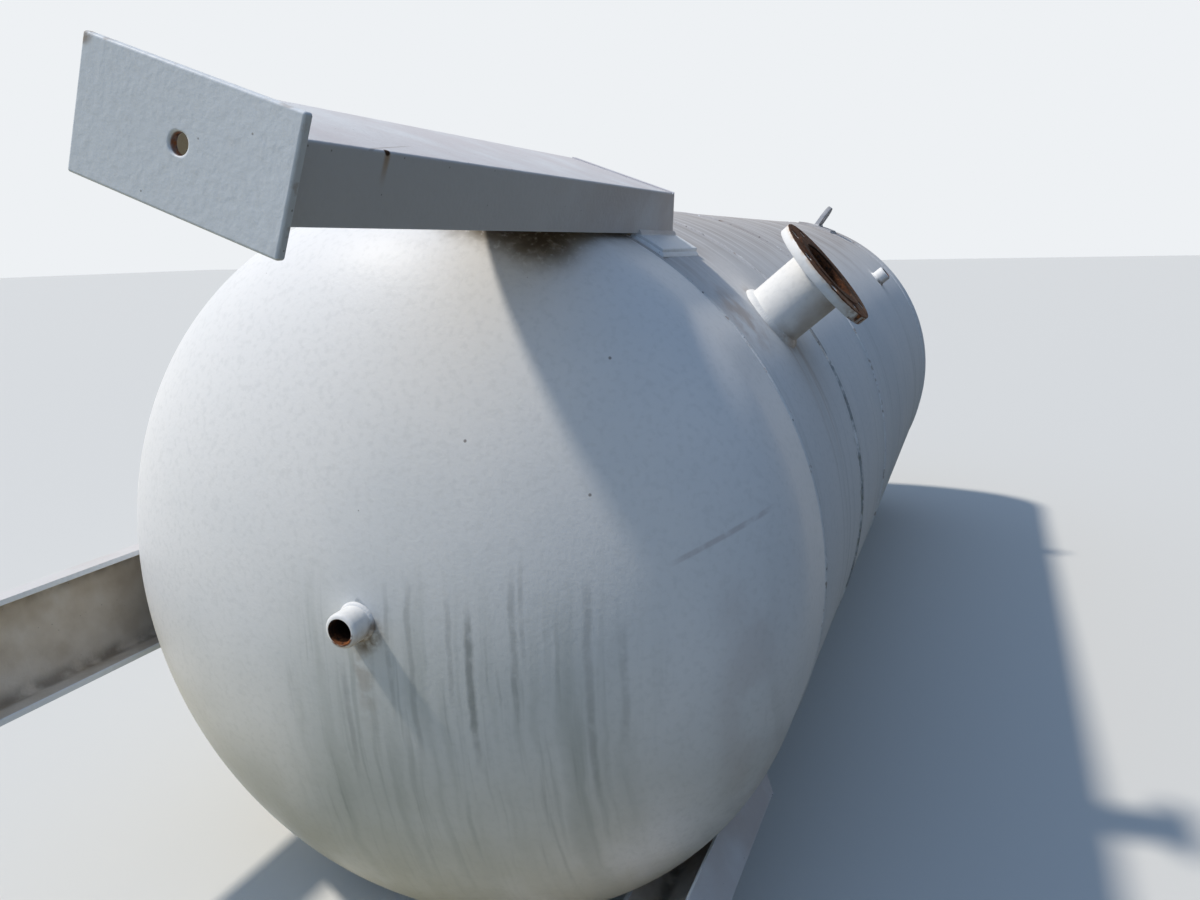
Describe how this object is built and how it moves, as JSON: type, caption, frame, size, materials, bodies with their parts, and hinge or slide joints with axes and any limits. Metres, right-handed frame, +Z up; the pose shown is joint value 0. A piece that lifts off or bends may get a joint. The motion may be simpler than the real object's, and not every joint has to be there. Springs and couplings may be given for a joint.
{
  "type": "pressure vessel on channel legs, lying on its side",
  "caption": "White welded steel pressure vessel lying on its side, with dished ends, channel legs past the near end, a flanged nozzle and threaded couplings",
  "frame": {"origin": "on the ground, under the middle of the bounding box", "axes": "vessel axis along +Y with the legs at the -Y end, +Z up, +X to the right as seen from the near head"},
  "size_m": [1.3427, 3.785, 1.3109],
  "materials": {
    "shell_paint": "roller-applied white enamel, weathered, with dirt streaks",
    "weld_paint": "white enamel over a weld bead",
    "leg_paint": "white enamel with rust at edges",
    "fitting_paint": "white enamel",
    "coupling_steel": "white enamel outside, rusty thread",
    "flange_rust": "bare rusty face, white enamel rim"
  },
  "bodies": {
    "root": {"near_head": "shell_paint", "shell_course_1": "shell_paint", "shell_course_2": "shell_paint", "shell_course_3": "shell_paint", "far_head": "shell_paint", "girth_weld_1": "weld_paint", "girth_weld_2": "weld_paint", "girth_weld_3": "weld_paint", "girth_weld_4": "weld_paint", "long_weld_1": "weld_paint", "long_weld_2": "weld_paint", "long_weld_3": "weld_paint", "leg_top": "leg_paint", "leg_left": "leg_paint", "leg_right": "leg_paint", "base_plate_top": "leg_paint", "base_plate_left": "leg_paint", "base_plate_right": "leg_paint", "leg_cap_top": "leg_paint", "leg_cap_left": "leg_paint", "leg_cap_right": "leg_paint", "leg_pad_top": "leg_paint", "leg_pad_left": "leg_paint", "leg_pad_right": "leg_paint", "nozzle_neck": "fitting_paint", "nozzle_flange": "flange_rust", "drain_coupling": "coupling_steel", "far_coupling": "coupling_steel", "lug_pad": "fitting_paint", "lifting_lug": "fitting_paint"}
  },
  "joints": []
}
